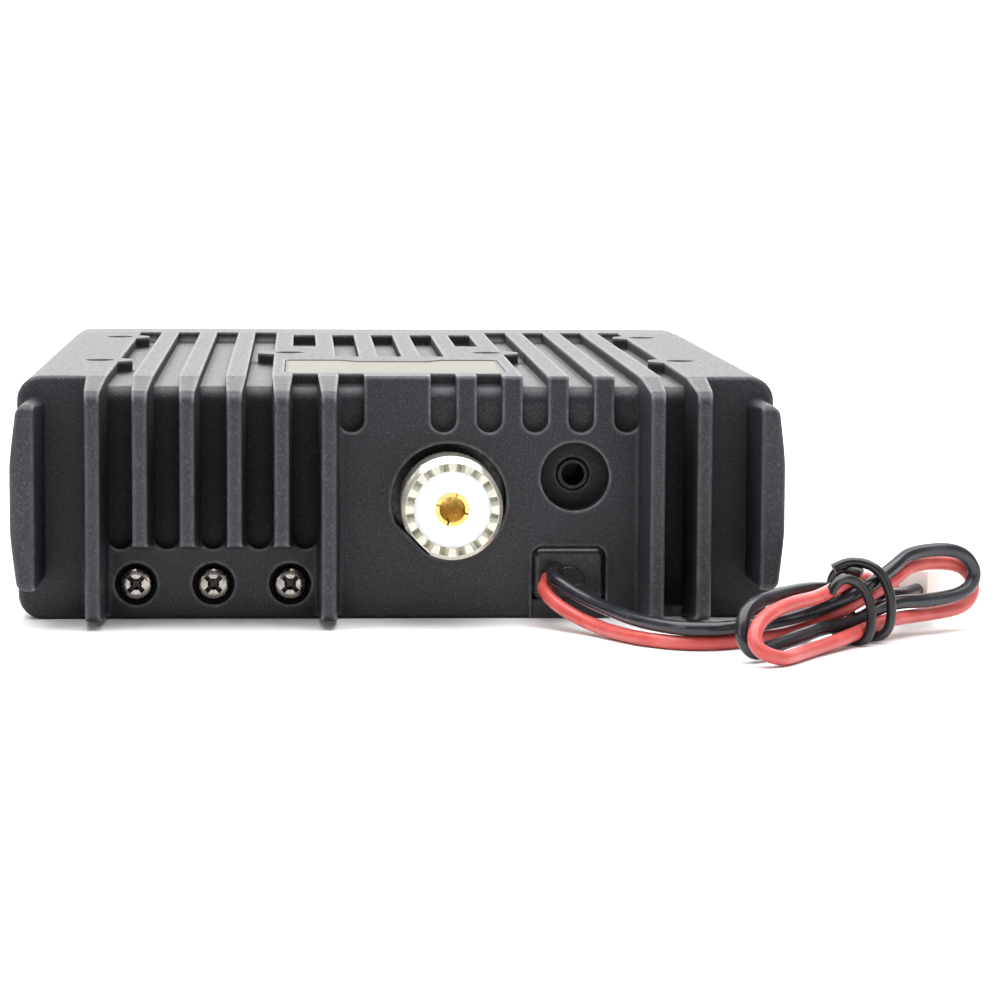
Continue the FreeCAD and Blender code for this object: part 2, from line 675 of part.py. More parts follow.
def tube(points, r):
    spine = route_wire(points)
    start = V(*points[0])
    along = (V(*points[1]) - start).normalize()
    ring = Part.Wire([Part.Circle(start, along, r).toShape()])
    solid = spine.makePipeShell([ring], True, True)
    expected = math.pi * r * r * spine.Length
    print("tube volume %.1f, section x length %.1f" % (solid.Volume, expected))
    return solid


def power_wire_red():
    return tube(RED_ROUTE, WIRE_R)


def power_wire_black():
    return tube(BLACK_ROUTE, WIRE_R)


TIE_R = 0.5
TIE_CENTRE = V(73.0, -95.5, 0)
TIE_ALONG = V(0.83, 0.56, 0).normalize()
TIE_ACROSS = V(0.56, -0.83, 0).normalize()


def tie_point(along, across, z):
    return TIE_CENTRE + TIE_ALONG * along + TIE_ACROSS * across + V(0, 0, z)


def tie_loop(along, corners, radii):
    points = [tuple(tie_point(along, u, z)) for u, z in corners]
    wire = arc_polygon(points, radii)
    edge = wire.Edges[0]
    start = edge.valueAt(edge.FirstParameter)
    ring = Part.Wire([Part.Circle(start, edge.tangentAt(edge.FirstParameter), TIE_R).toShape()])
    return wire.makePipeShell([ring], True, True)


def cable_tie():
    left = [(4.9, 0.56), (4.0, 6.5), (0.9, 11.9), (-2.6, 11.6), (-4.9, 8.6), (-3.4, 3.4), (-1.0, 0.65)]
    right = [(4.1, 0.9), (3.9, 9.0), (2.2, 11.7), (-2.6, 11.9), (-4.9, 9.4), (-4.6, 6.0), (-1.4, 0.9)]
    return group([
        tie_loop(-4.7, left, [1.4, 5.0, 1.8, 1.5, 1.8, 1.5, 1.0]),
        tie_loop(-0.5, right, [1.6, 3.0, 1.0, 1.5, 1.5, 1.5, 1.4]),
    ])


# =====================================================================================
# plug on the end of the cord
# =====================================================================================

PLUG_AXIS = V(2.0, 3.3, 0).normalize()
PLUG_SIDE = V(3.3, -2.0, 0).normalize()
PLUG_BACK = V(80.65, -81.2, 0)
PLUG_PITCH = 3.86


def plug_block(a0, a1, b0, b1, z0, z1):
    """A block in the plug's own directions: along its axis, across it, and up."""
    corners = ((a0, b0), (a1, b0), (a1, b1), (a0, b1))
    places = [PLUG_BACK + PLUG_AXIS * a + PLUG_SIDE * b for a, b in corners]
    return prism([(p.x, p.y, z0) for p in places], (0, 0, z1 - z0))


def plug_housing():
    housing = plug_block(0, 11.0, -3.7, 3.7, 3.6, 9.2)
    latch = plug_block(2.0, 8.5, -1.2, 1.2, 9.2, 10.0)
    mouth = plug_block(5.5, 12.0, -3.0, 3.0, 4.6, 8.0)
    return housing.fuse(latch).removeSplitter().cut(mouth)


def plug_terminals():
    blades = []
    for side in (-0.5, 0.5):
        middle = side * PLUG_PITCH
        blades.append(plug_block(5.5, 9.8, middle - 0.8, middle + 0.8, 5.6, 6.4))
    return group(blades)


# =====================================================================================
# inside the set
# =====================================================================================

def main_board():
    board = box(-53.0, 53.0, REAR + WALL_REAR + 1.0, 46.0, BOARD_Z0, BOARD_Z1)
    board = board.cut(box(ANT_X - 14, ANT_X + 14, -80, REAR + WALL_REAR + 4.0, 0, 40))
    board = board.cut(box(JACK_X - 8, JACK_X + 8, -80, REAR + WALL_REAR + 1.2, 0, 40))
    for x, y in COVER_SCREWS:
        x0, x1 = (x - 4.6, 60) if x > 0 else (-60, x + 4.6)
        board = board.cut(box(x0, x1, y - 4.6, y + 4.6, 20, 40))
    for y in BRACKET_Y:
        board = board.cut(box(51.2, 60, y - 5.4, y + 5.4, 20, 40))
        board = board.cut(box(-60, -51.2, y - 5.4, y + 5.4, 20, 40))
    for x, y in TOP_SCREWS:
        board = board.cut(rod_z(x, y, 1.3, 20, 40))
    return board


def board_standoffs():
    posts = []
    for x, y in TOP_SCREWS:
        posts.append(rod_z(x, y, 2.6, BOARD_Z1, CEILING).cut(rod_z(x, y, 1.3, 20, 40)))
    return group(posts)


def board_screws():
    """Short screws from below; they meet the long ones half way up the standoffs."""
    screw = pan_screw(2.3, 1.4, 1.3, 1.8)
    return group([placed(screw, x, y, BOARD_Z0 - 1.4, (1, 0, 0), 0) for x, y in TOP_SCREWS])


def power_transistors():
    """Moulded bodies of the three power devices on the rear wall."""
    y = REAR + WALL_REAR + 1.6
    return group([box(x - 5.0, x + 5.0, y, y + 3.2, 9.4, 18.4) for x in PAD_SCREW_X])


def transistor_tabs():
    y = REAR + WALL_REAR + 0.3
    made = []
    for x in PAD_SCREW_X:
        tab = box(x - 5.0, x + 5.0, y, y + 1.3, 2.2, 18.4).cut(rod_y(x, PAD_SCREW_Z, 1.6, y - 1, y + 3))
        made.append(tab)
        for dx in (-2.54, 0, 2.54):
            made.append(box(x + dx - 0.4, x + dx + 0.4, y + 2.2, y + 2.7, 18.4, BOARD_Z0))
    return group(made)


def thermal_pads():
    y = REAR + WALL_REAR
    pads = []
    for x in PAD_SCREW_X:
        pad = box(x - 5.4, x + 5.4, y, y + 0.3, 1.9, 19.0)
        pads.append(pad.cut(rod_y(x, PAD_SCREW_Z, 1.6, y - 1, y + 3)))
    pads.append(box(-43.0, -3.0, -44.0, -30.0, CEILING - 0.3, CEILING))
    return group(pads)


def transistor_nuts():
    y = REAR + WALL_REAR + 1.6
    angles = [math.radians(60 * i) for i in range(6)]
    nuts = []
    for x in PAD_SCREW_X:
        corners = [(x + 3.1 * math.cos(a), y, PAD_SCREW_Z + 3.1 * math.sin(a)) for a in angles]
        nuts.append(prism(corners, (0, 2.4, 0)).cut(rod_y(x, PAD_SCREW_Z, 1.5, y - 1, y + 4)))
    return group(nuts)


def rf_module():
    """Final amplifier: moulded cap on the board, metal flange towards the casting."""
    cap = box(-40.0, -6.0, -44.0, -30.0, BOARD_Z1, 33.0)
    flange = box(-43.0, -3.0, -44.0, -30.0, 33.0, CEILING - 0.3)
    return group([cap, flange])


def shield_cans():
    places = ((-46, -14, -50, -22, 21.5), (-46, -24, -14, 10, 22.5), (24, 46, -10, 10, 22.5))
    cans = []
    for x0, x1, y0, y1, z0 in places:
        shell = rounded_box(x0, x1, y0, y1, z0, BOARD_Z0, 1.2, "z")
        cans.append(shell.cut(box(x0 + 0.4, x1 - 0.4, y0 + 0.4, y1 - 0.4, z0 + 0.4, BOARD_Z0 + 1)))
    return group(cans)


def filter_coils():
    """Air-wound coils of the output filter, each a ridged tube lying across the board."""
    coils = []
    for i in range(4):
        x, z = -5.0 + 8.0 * i, BOARD_Z0 - 3.0
        y0 = -47.0
        points = [(x + 2.0, y0, z)]
        for turn in range(7):
            points.append((x + 3.0, y0 + turn * 1.2 + 0.3, z))
            points.append((x + 3.0, y0 + turn * 1.2 + 0.9, z))
            points.append((x + 2.6, y0 + turn * 1.2 + 1.2, z))
        points.append((x + 2.0, y0 + 8.4, z))
        face = Part.Face(Part.makePolygon([V(*p) for p in points] + [V(*points[0])]))
        coils.append(face.revolve(V(x, 0, z), V(0, 1, 0), 360))
    return group(coils)


def electrolytics():
    sizes = ((40, -40, 4.0, 11.0), (40, -28, 5.0, 12.5), (28, -28, 4.0, 11.0), (41, -17, 3.15, 8.0))
    cans = []
    for x, y, r, h in sizes:
        can = rod_z(x, y, r, BOARD_Z0 - h, BOARD_Z0)
        low = [e for e in can.Edges if abs(e.BoundBox.ZMax - (BOARD_Z0 - h)) < 1e-6]
        can = can.makeFillet(0.5, low)
        groove = Part.makeTorus(r + 0.25, 0.5, V(x, y, BOARD_Z0 - 2.0))
        cans.append(can.cut(groove))
    return group(cans)


def chips():
    sizes = (
        (0, -22, 12, 12, 1.6), (12, -18, 6, 5, 1.3), (-14, -16, 7, 5, 1.3), (-36, 22, 10, 10, 1.6),
        (36, 20, 9, 7, 1.5), (-34, 36, 6, 8, 1.3), (32, 34, 8, 5, 1.3), (18, -34, 5, 4, 1.2),
    )
    made = []
    for x, y, w, d, h in sizes:
        made.append(box(x - w / 2, x + w / 2, y - d / 2, y + d / 2, BOARD_Z0 - h, BOARD_Z0))
    return group(made)


def board_headers():
    rear = box(-20, 20, 40, 45, 23.5, BOARD_Z0)
    front = box(-20, 20, FRONT_BOARD_Y - 4.5, FRONT_BOARD_Y, 23.5, 28.5)
    return group([rear, front])


def ribbon_cable():
    return box(-18, 18, 45, FRONT_BOARD_Y - 4.5, 25.8, 26.2)


def speaker_frame():
    """Pressed basket seen in half section: rim, wall, back plate."""
    z0 = COVER_T + 0.4
    points = [(20.0, 0), (20.0, 1.4), (18.2, 1.4), (12.6, 7.4), (6.0, 7.4),
              (6.0, 6.8), (12.2, 6.8), (17.0, 0.8), (17.0, 0), (20.0, 0)]
    face = Part.Face(Part.makePolygon([V(r, SPEAKER_Y, z0 + z) for r, z in points]))
    return face.revolve(V(0, SPEAKER_Y, 0), V(0, 0, 1), 360)


def speaker_cone():
    z0 = COVER_T + 0.4
    points = [(17.0, 0.2), (17.0, 0.7), (15.6, 0.5), (6.0, 5.6), (0, 4.6),
              (0, 4.2), (6.0, 5.1), (15.6, 0.1), (17.0, 0.2)]
    face = Part.Face(Part.makePolygon([V(r, SPEAKER_Y, z0 + z) for r, z in points]))
    return face.revolve(V(0, SPEAKER_Y, 0), V(0, 0, 1), 360)


def speaker_magnet():
    z0 = COVER_T + 0.4 + 7.4
    return rod_z(0, SPEAKER_Y, 11.0, z0, z0 + 6.0)


def speaker_cloth():
    return rod_z(0, SPEAKER_Y, 19.0, COVER_T, COVER_T + 0.4)


# =====================================================================================
# control panel
# =====================================================================================

def front_gasket():
    outer = rounded_box(-60.0, 60.0, CAST_FRONT, BEZEL_BACK, 0.9, 38.4, 3.6, "y")
    inner = rounded_box(-58.4, 58.4, CAST_FRONT - 1, BEZEL_BACK + 1, 3.0, 36.6, 2.6, "y")
    return outer.cut(inner)


def key_x(i):
    return KEY_X0 + KEY_STEP * i


def front_bezel():
    shell = rounded_box(-BEZEL_HALF, BEZEL_HALF, BEZEL_BACK, BEZEL_FRONT, BEZEL_Z0, BEZEL_Z1, 4.2, "y")
    front = [e for e in shell.Edges if all(abs(v.Point.y - BEZEL_FRONT) < 1e-6 for v in e.Vertexes)]
    shell = shell.makeFillet(2.2, front)
    hollow = rounded_box(-BEZEL_HALF + BEZEL_WALL, BEZEL_HALF - BEZEL_WALL, BEZEL_BACK - 1, BEZEL_INNER,
                         BEZEL_Z0 + BEZEL_WALL, BEZEL_Z1 - BEZEL_WALL, 1.8, "y")
    shell = shell.cut(hollow)
    x0, x1, z0, z1 = WINDOW
    y0, y1 = BEZEL_INNER - 1, BEZEL_FRONT + 1
    cuts = [rounded_box(x0 - 0.1, x1 + 0.1, BEZEL_FRONT - 1.3, y1, z0 - 0.1, z1 + 0.1, 2.0, "y")]
    cuts.append(box(x0 + 2.5, x1 - 2.5, y0, BEZEL_FRONT, z0 + 2.5, z1 - 2.5))
    half_w, half_h = KEY_W / 2 + KEY_GAP, KEY_H / 2 + KEY_GAP
    for i in range(6):
        x = key_x(i)
        cuts.append(rounded_box(x - half_w, x + half_w, y0, y1, KEY_Z - half_h, KEY_Z + half_h, 1.0, "y"))
    cuts.append(rod_y(VOLUME_X, VOLUME_Z, 3.6, BEZEL_INNER - 1, BEZEL_FRONT + 1))
    cuts.append(rod_y(CHANNEL_X, CHANNEL_Z, 3.6, BEZEL_INNER - 1, BEZEL_FRONT + 1))
    cuts.append(box(MIC_X - 7.7, MIC_X + 7.7, BEZEL_INNER - 1, BEZEL_FRONT + 1, MIC_Z - 6.6, MIC_Z + 6.6))
    for z in (13.0, 27.0):
        cuts.append(rod_x(57.0, z, 1.4, 55, 62))
        cuts.append(rod_x(57.0, z, 1.4, -62, -55))
        cuts.append(rod_x(57.0, z, 2.5, BEZEL_HALF - 1.3, 62))
        cuts.append(rod_x(57.0, z, 2.5, -62, -BEZEL_HALF + 1.3))
    for cut in cuts:
        shell = shell.cut(cut)
    return shell


def bezel_screws():
    screw = pan_screw(2.3, 1.2, 1.05, 5.2)
    made = []
    for z in (13.0, 27.0):
        made.append(placed(screw, BEZEL_HALF - 0.1, 57.0, z, (0, 1, 0), -90))
        made.append(placed(screw, -BEZEL_HALF + 0.1, 57.0, z, (0, 1, 0), 90))
    return group(made)


def display_window():
    x0, x1, z0, z1 = WINDOW
    return rounded_box(x0, x1, BEZEL_FRONT - 1.3, BEZEL_FRONT - 0.05, z0, z1, 1.9, "y")


def lcd_panel():
    x0, x1, z0, z1 = WINDOW
    return box(x0 + 1.2, x1 - 1.2, BEZEL_INNER - 2.0, BEZEL_INNER, z0 + 1.2, z1 - 1.2)


def lcd_backlight():
    x0, x1, z0, z1 = WINDOW
    return box(x0 + 1.2, x1 - 1.2, FRONT_BOARD_Y + FRONT_BOARD_T, BEZEL_INNER - 2.0, z0 + 1.2, z1 - 1.2)


def front_board():
    board = box(-54.0, 54.0, FRONT_BOARD_Y, FRONT_BOARD_Y + FRONT_BOARD_T, 3.4, 35.6)
    return board.cut(box(MIC_X - 7.6, MIC_X + 7.6, 50, 70, 2, MIC_Z + 6.5))


def keypad_mat():
    y0 = FRONT_BOARD_Y + FRONT_BOARD_T
    mat = box(-32.0, 32.0, y0, y0 + 1.5, 3.6, 10.4)
    for i in range(6):
        mat = mat.fuse(Part.makeCone(3.0, 2.0, 2.1, V(key_x(i), y0 + 1.5, KEY_Z), V(0, 1, 0)))
    return mat.removeSplitter()


def key_cap(i):
    """One push key: cap, retaining flange and plunger. It travels 0.8 mm."""
    x = key_x(i)
    w, h = KEY_W / 2, KEY_H / 2
    face = BEZEL_FRONT + 1.2
    cap = rounded_box(x - w, x + w, 67.0, face, KEY_Z - h, KEY_Z + h, 0.8, "y")
    top = [e for e in cap.Edges if all(abs(v.Point.y - face) < 1e-6 for v in e.Vertexes)]
    cap = cap.makeFillet(0.4, top)
    flange = box(x - w - 0.8, x + w + 0.8, 67.0, 68.1, KEY_Z - h - 0.8, KEY_Z + h + 0.8)
    plunger = rod_y(x, KEY_Z, 1.6, 66.2, 67.0)
    return fuse([cap, flange, plunger])


def rotary_body(x, z):
    """Body and threaded bushing of a rotary control, bored for its shaft."""
    y0 = FRONT_BOARD_Y + FRONT_BOARD_T
    body = box(x - 6.0, x + 6.0, y0, BEZEL_INNER, z - 6.0, z + 6.0)
    bushing = rod_y(x, z, 3.5, BEZEL_INNER, BEZEL_FRONT + 2.2)
    return body.fuse(bushing).cut(rod_y(x, z, SHAFT_R + 0.05, y0 + 2.0, BEZEL_FRONT + 5)).removeSplitter()


def rotary_shaft(x, z, end):
    y0 = FRONT_BOARD_Y + FRONT_BOARD_T + 2.3
    shaft = rod_y(x, z, SHAFT_R, y0, end)
    return shaft.cut(box(x - 4, x + 4, end - 7.0, end + 1, z + 1.5, z + 4))


def knob(x, z, r, end, shaft_end, ribs):
    """A turned knob with a fluted grip, hollow at the back, pressed on the shaft's flat."""
    body = rod_y(x, z, r, KNOB_Y0, end)
    rim = [e for e in body.Edges if abs(e.BoundBox.YMin - end) < 1e-6 and abs(e.BoundBox.YMax - end) < 1e-6]
    body = body.makeFillet(0.9, rim)
    body = body.cut(rod_y(x, z, 4.6, KNOB_Y0 - 1, KNOB_Y0 + 2.4))
    for i in range(ribs):
        angle = 2 * math.pi * (i + 0.5) / ribs
        fx, fz = x + (r + 0.55) * math.cos(angle), z + (r + 0.55) * math.sin(angle)
        body = body.cut(rod_y(fx, fz, 0.9, KNOB_Y0 + 1.5, end + 1))
    hole = rod_y(x, z, SHAFT_R, KNOB_Y0, shaft_end)
    hole = hole.cut(box(x - 4, x + 4, shaft_end - 7.0, shaft_end + 1, z + 1.5, z + 4))
    body = body.cut(hole)
    mark = box(x - 0.35, x + 0.35, end - 0.35, end + 1, z + r * 0.45, z + r * 0.85)
    return body.cut(mark)


def mic_socket():
    body = box(MIC_X - 7.5, MIC_X + 7.5, 55.0, BEZEL_FRONT + 0.4, MIC_Z - 6.5, MIC_Z + 6.4)
    mouth = box(MIC_X - 5.9, MIC_X + 5.9, 60.0, BEZEL_FRONT + 2, MIC_Z - 3.4, MIC_Z + 3.6)
    latch = box(MIC_X - 3.0, MIC_X + 3.0, 63.0, BEZEL_FRONT + 2, MIC_Z - 5.3, MIC_Z - 3.3)
    return body.cut(mouth).cut(latch)


def mic_contacts():
    made = []
    for i in range(8):
        x = MIC_X - 3.79 + 1.02 * i
        bent = [(x, 60.0, MIC_Z + 3.6), (x, 69.0, MIC_Z + 3.6),
                (x, 62.0, MIC_Z + 1.2), (x, 61.6, MIC_Z + 1.2)]
        made.append(prism(bent, (0.44, 0, 0)))
    return group(made)


# =====================================================================================

save("chassis", chassis())
save("bottom_cover", bottom_cover())
save("bottom_cover_screws", bottom_cover_screws())
save("top_screws", top_screws())
save("rear_screws", rear_screws())
save("label_plate", label_plate())
save("antenna_shell", antenna_shell())
save("antenna_screws", antenna_screws())
save("antenna_insulator", antenna_insulator())
save("antenna_contact", antenna_contact())
save("antenna_lead", antenna_lead())
save("jack_body", jack_body())
save("jack_bushing", jack_bushing())
save("cable_grommet", cable_grommet())
save("dc_leads", group([dc_leads(), dc_posts()]))
save("power_wire_red", power_wire_red())
save("power_wire_black", power_wire_black())
save("cable_tie", cable_tie())
save("plug_housing", plug_housing())
save("plug_terminals", plug_terminals())
save("main_board", main_board())
save("board_standoffs", board_standoffs())
save("board_screws", board_screws())
save("power_transistors", power_transistors())
save("transistor_tabs", transistor_tabs())
save("thermal_pads", thermal_pads())
save("transistor_nuts", transistor_nuts())
save("rf_module", rf_module())
save("shield_cans", shield_cans())
save("filter_coils", filter_coils())
save("electrolytics", electrolytics())
save("chips", chips())
save("board_headers", board_headers())
save("ribbon_cable", ribbon_cable())
save("speaker_frame", speaker_frame())
save("speaker_cone", speaker_cone())
save("speaker_magnet", speaker_magnet())
save("speaker_cloth", speaker_cloth())
save("front_gasket", front_gasket())
save("front_bezel", front_bezel())
save("bezel_screws", bezel_screws())
save("display_window", display_window())
save("lcd_panel", lcd_panel())
save("lcd_backlight", lcd_backlight())
save("front_board", front_board())
save("keypad_mat", keypad_mat())
for number in range(6):
    save("key_%d" % (number + 1), key_cap(number))
save("volume_control", rotary_body(VOLUME_X, VOLUME_Z))
save("channel_encoder", rotary_body(CHANNEL_X, CHANNEL_Z))
save("volume_shaft", rotary_shaft(VOLUME_X, VOLUME_Z, 81.0))
save("volume_knob", knob(VOLUME_X, VOLUME_Z, 7.6, 83.0, 81.0, 18))
save("channel_shaft", rotary_shaft(CHANNEL_X, CHANNEL_Z, 81.0))
save("channel_knob", knob(CHANNEL_X, CHANNEL_Z, 10.5, 84.0, 81.0, 24))
save("mic_socket", mic_socket())
save("socket_contacts", group([jack_contacts(), mic_contacts()]))
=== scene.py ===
import math

import bmesh
import bpy
from mathutils import Matrix, Vector


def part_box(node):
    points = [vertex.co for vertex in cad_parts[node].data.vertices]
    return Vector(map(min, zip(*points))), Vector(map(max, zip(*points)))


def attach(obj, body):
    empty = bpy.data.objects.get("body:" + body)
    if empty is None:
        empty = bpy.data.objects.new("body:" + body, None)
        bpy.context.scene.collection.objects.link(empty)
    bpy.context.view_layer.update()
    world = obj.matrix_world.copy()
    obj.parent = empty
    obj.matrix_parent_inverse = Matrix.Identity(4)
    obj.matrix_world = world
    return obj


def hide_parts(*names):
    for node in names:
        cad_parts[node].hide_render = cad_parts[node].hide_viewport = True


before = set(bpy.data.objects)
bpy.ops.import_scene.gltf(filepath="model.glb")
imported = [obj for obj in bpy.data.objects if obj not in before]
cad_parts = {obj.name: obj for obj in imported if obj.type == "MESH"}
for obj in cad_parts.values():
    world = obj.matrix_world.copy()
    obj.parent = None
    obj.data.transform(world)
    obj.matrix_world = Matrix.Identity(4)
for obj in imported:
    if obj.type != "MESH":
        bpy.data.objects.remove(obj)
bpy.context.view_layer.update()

MM = 0.001
scene = bpy.context.scene


def mm(x, y, z):
    return Vector((x, y, z)) * MM


# =====================================================================================
# camera: behind the set, a little above and to the left, long lens
# =====================================================================================

CAMERA_PLACE = mm(-15.65, -624.2, 78.07)
CAMERA_YAW = math.radians(3.323)
CAMERA_PITCH = math.radians(6.048)
CAMERA_ROLL = math.radians(0.328)
CAMERA_LENS = 124.8


def make_camera():
    data = bpy.data.cameras.new("camera")
    data.lens = CAMERA_LENS
    data.sensor_width = 36
    data.clip_start = 0.01
    data.clip_end = 50
    camera = bpy.data.objects.new("camera", data)
    scene.collection.objects.link(camera)
    look = Vector((
        math.sin(CAMERA_YAW) * math.cos(CAMERA_PITCH),
        math.cos(CAMERA_YAW) * math.cos(CAMERA_PITCH),
        -math.sin(CAMERA_PITCH),
    ))
    right = look.cross(Vector((0, 0, 1))).normalized()
    up = right.cross(look)
    turned_right = right * math.cos(CAMERA_ROLL) + up * math.sin(CAMERA_ROLL)
    turned_up = up * math.cos(CAMERA_ROLL) - right * math.sin(CAMERA_ROLL)
    turn = Matrix((turned_right, turned_up, -look)).transposed().to_4x4()
    camera.matrix_world = Matrix.Translation(CAMERA_PLACE) @ turn
    scene.camera = camera


make_camera()

# =====================================================================================
# power cord: two insulated wires folded into a small hank, held by a twist tie
# =====================================================================================

WIRE_R = 1.1 * MM

RED_ROUTE = [
    (24.1, -69.0, 6.6),
    (24.1, -74.0, 6.6),
    (22.8, -78.5, 6.0),
    (24.9, -83.0, 3.8),
    (30.3, -89.5, 1.4),
    (36.6, -101.5, 1.15),
    (44.6, -106.8, 1.15),
    (53.4, -102.3, 1.15),
    (62.0, -96.8, 1.7),
    (70.2, -96.7, 6.1),
    (76.0, -94.2, 8.9),
    (80.5, -87.8, 11.1),
    (88.5, -83.2, 10.7),
    (91.9, -80.8, 7.5),
    (90.6, -82.2, 3.4),
    (83.2, -87.0, 2.9),
    (76.2, -94.6, 3.3),
    (71.6, -99.0, 2.4),
    (66.4, -105.8, 1.6),
    (60.6, -113.4, 1.15),
    (57.6, -118.6, 1.15),
    (54.8, -122.6, 1.2),
    (50.8, -123.0, 3.0),
    (51.8, -119.6, 6.4),
    (56.9, -113.0, 8.1),
    (63.4, -104.8, 8.0),
    (69.5, -96.5, 9.9),
    (73.8, -91.0, 9.2),
    (75.6, -85.8, 5.9),
    (79.0, -80.2, 5.9),
]
BLACK_ROUTE = [
    (25.7, -69.0, 8.2),
    (25.7, -74.0, 8.2),
    (24.0, -79.0, 8.0),
    (27.8, -84.0, 5.8),
    (31.3, -89.0, 4.6),
    (36.7, -100.0, 3.5),
    (44.4, -107.6, 3.35),
    (53.4, -102.8, 3.45),
    (62.0, -97.6, 4.2),
    (71.1, -98.5, 8.2),
    (76.2, -94.7, 11.3),
    (79.8, -89.5, 13.2),
    (88.3, -86.0, 13.3),
    (91.6, -84.0, 9.3),
    (89.7, -85.5, 6.1),
    (82.8, -89.0, 5.3),
    (75.8, -94.0, 5.8),
    (69.5, -97.3, 2.9),
    (64.5, -102.6, 3.1),
    (59.6, -110.0, 2.7),
    (54.3, -115.4, 1.9),
    (51.6, -118.0, 1.2),
    (49.7, -118.3, 3.6),
    (50.1, -116.5, 6.7),
    (52.0, -113.6, 8.4),
    (56.5, -108.0, 8.9),
    (62.0, -101.0, 9.0),
    (68.8, -95.0, 7.9),
    (74.3, -91.7, 6.4),
    (79.3, -87.1, 6.1),
    (82.3, -82.2, 6.1),
]


def add_spline(curve, points):
    """An open NURBS spline of order 3 through its end points; the points are in millimetres."""
    spline = curve.splines.new("NURBS")
    spline.points.add(len(points) - 1)
    for point, place in zip(spline.points, points):
        point.co = (*mm(*place), 1.0)
    spline.use_endpoint_u = True
    spline.order_u = 3


def round_cord(name, routes, radius):
    """A round cord along one smooth spline for each route."""
    curve = bpy.data.curves.new(name, "CURVE")
    curve.dimensions = "3D"
    curve.bevel_depth = radius
    curve.bevel_resolution = 8
    curve.resolution_u = 24
    curve.use_fill_caps = True
    for route in routes:
        add_spline(curve, route)
    piece = bpy.data.objects.new(name, curve)
    scene.collection.objects.link(piece)
    return piece


red_wire = round_cord("wire_red", [RED_ROUTE], WIRE_R)
black_wire = round_cord("wire_black", [BLACK_ROUTE], WIRE_R)

# The twist tie is drawn in its own directions: along the bundle, across it to the camera, and up.
TIE_R = 0.78 * MM
TIE_CENTRE = Vector((73.0, -95.5, 0))
TIE_ALONG = Vector((0.83, 0.56, 0)).normalized()
TIE_ACROSS = Vector((0.56, -0.83, 0)).normalized()

TIE_LEFT = [
    (-11.2, 2.4, 8.4), (-10.5, 2.5, 9.9), (-8.4, 2.7, 10.7), (-6.4, 3.1, 10.0), (-5.1, 4.0, 8.4),
    (-4.6, 4.7, 5.9), (-4.8, 4.9, 2.9), (-5.3, 4.3, 0.95), (-6.2, 2.3, 0.85), (-6.3, 0.2, 0.85),
    (-5.6, -2.0, 1.1), (-4.9, -3.8, 3.2), (-4.4, -4.9, 6.6), (-4.5, -4.6, 9.4), (-4.9, -2.6, 11.3),
    (-4.6, 0.2, 11.5), (-3.8, 1.5, 10.9),
]
TIE_RIGHT = [
    (-6.9, -1.5, 11.6), (-5.4, -0.8, 12.5), (-3.4, 0.6, 12.6), (-1.7, 2.4, 11.8), (-0.6, 3.7, 9.6),
    (-0.1, 4.4, 6.4), (-0.1, 4.3, 3.3), (-0.9, 3.7, 1.3), (-2.1, 1.6, 0.85), (-2.2, -1.0, 0.95),
    (-1.2, -3.6, 3.2), (-0.5, -4.8, 6.2), (-0.5, -4.9, 9.2), (-1.0, -3.4, 11.3), (-1.9, -1.4, 11.5),
]


def tie_route(points):
    return [
        tuple(TIE_CENTRE + TIE_ALONG * along + TIE_ACROSS * across + Vector((0, 0, up)))
        for along, across, up in points
    ]


# Two wraps side by side, each with its ends curled up.
twist = round_cord("twist_tie", [tie_route(TIE_LEFT), tie_route(TIE_RIGHT)], TIE_R)

# =====================================================================================
# materials
# =====================================================================================


NONE = (0, 0, 0)
FULL = (1, 1, 1)


